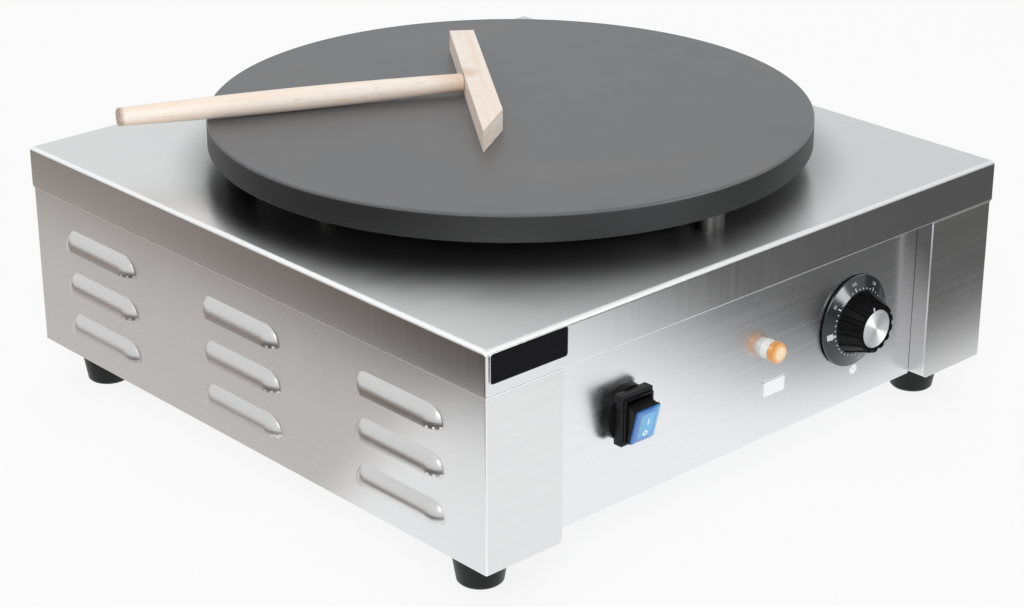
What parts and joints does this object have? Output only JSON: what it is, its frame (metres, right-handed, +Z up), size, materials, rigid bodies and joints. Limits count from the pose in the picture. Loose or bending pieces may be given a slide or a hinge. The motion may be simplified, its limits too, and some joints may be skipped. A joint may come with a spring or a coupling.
{
  "type": "electric crepe maker",
  "caption": "Countertop electric crepe maker: round griddle plate on posts over a square steel housing with side louvres, rocker switch, pilot lamp and thermostat dial.",
  "frame": {"origin": "on the table, under the middle of the housing: the level the feet stand on", "axes": "+X to the right along the front face, +Y to the back, +Z up; the controls face -Y"},
  "size_m": [0.464, 0.4724, 0.2162],
  "materials": {
    "amber_lens": "gloss",
    "beech": "satin",
    "black_plastic": "gloss",
    "block_plastic": "matt",
    "blue_lens": "gloss",
    "brass_blade": "satin",
    "brushed_sheet": "satin",
    "cap_metal": "satin",
    "cast_plate": "satin",
    "copper": "satin",
    "dial_plastic": "gloss",
    "element_sheath": "matt",
    "fastener": "satin",
    "foot_rubber": "satin",
    "mineral_wool": "matt",
    "satin_post": "satin",
    "white_plastic": "gloss",
    "zinc_sheet": "satin"
  },
  "bodies": {
    "cooker": {"base_plate": "zinc_sheet", "base_screws": "fastener", "block_screws": "fastener", "cable_gland": "black_plastic", "capillary_tube": "copper", "clamp_screws": "fastener", "earth_nut": "fastener", "earth_stud": "fastener", "element_clamp_plate": "zinc_sheet", "foot_front_left": "foot_rubber", "foot_front_right": "foot_rubber", "foot_nuts": "fastener", "foot_rear_left": "foot_rubber", "foot_rear_right": "foot_rubber", "foot_screws": "fastener", "front_panel": "brushed_sheet", "gland_nut": "black_plastic", "griddle_plate": "cast_plate", "heat_shield": "zinc_sheet", "heating_element": "element_sheath", "insulation_blanket": "mineral_wool", "lamp_body": "white_plastic", "lamp_lens": "amber_lens", "lamp_nut": "black_plastic", "left_side_panel": "brushed_sheet", "panel_rivets": "fastener", "plate_post_front": "satin_post", "plate_post_rear_left": "satin_post", "plate_post_rear_right": "satin_post", "post_nuts": "fastener", "post_washers": "fastener", "rear_panel": "brushed_sheet", "right_side_panel": "brushed_sheet", "rocker_pin": "fastener", "sensor_bulb": "copper", "sensor_clip": "zinc_sheet", "sensor_screws": "fastener", "switch_bezel": "black_plastic", "switch_gasket": "foot_rubber", "switch_housing": "black_plastic", "switch_terminals": "brass_blade", "terminal_block": "block_plastic", "thermostat_body": "block_plastic", "thermostat_screws": "fastener", "top_pan": "brushed_sheet"},
    "knob": {"thermostat_shaft": "fastener", "dial_skirt": "dial_plastic", "knob_grip": "black_plastic", "knob_cap": "cap_metal"},
    "rocker": {"rocker_button": "black_plastic", "rocker_lens": "blue_lens"},
    "spreader": {"spreader_head": "beech", "spreader_handle": "beech"}
  },
  "joints": [
    {"name": "knob_turn", "type": "hinge", "parent": "cooker", "child": "knob", "pos_m": [0.1045, -0.215, 0.0835], "axis": [0, 1, 0], "range_deg": [0, 300]},
    {"name": "rocker_tilt", "type": "hinge", "parent": "cooker", "child": "rocker", "pos_m": [-0.1045, -0.2218, 0.0865], "axis": [-1, 0, 0], "range_deg": [0, 28]},
    {"name": "spreader_lift", "type": "slide", "parent": "cooker", "child": "spreader", "axis": [0, 0, 1], "range_m": [0, 0.12]}
  ]
}
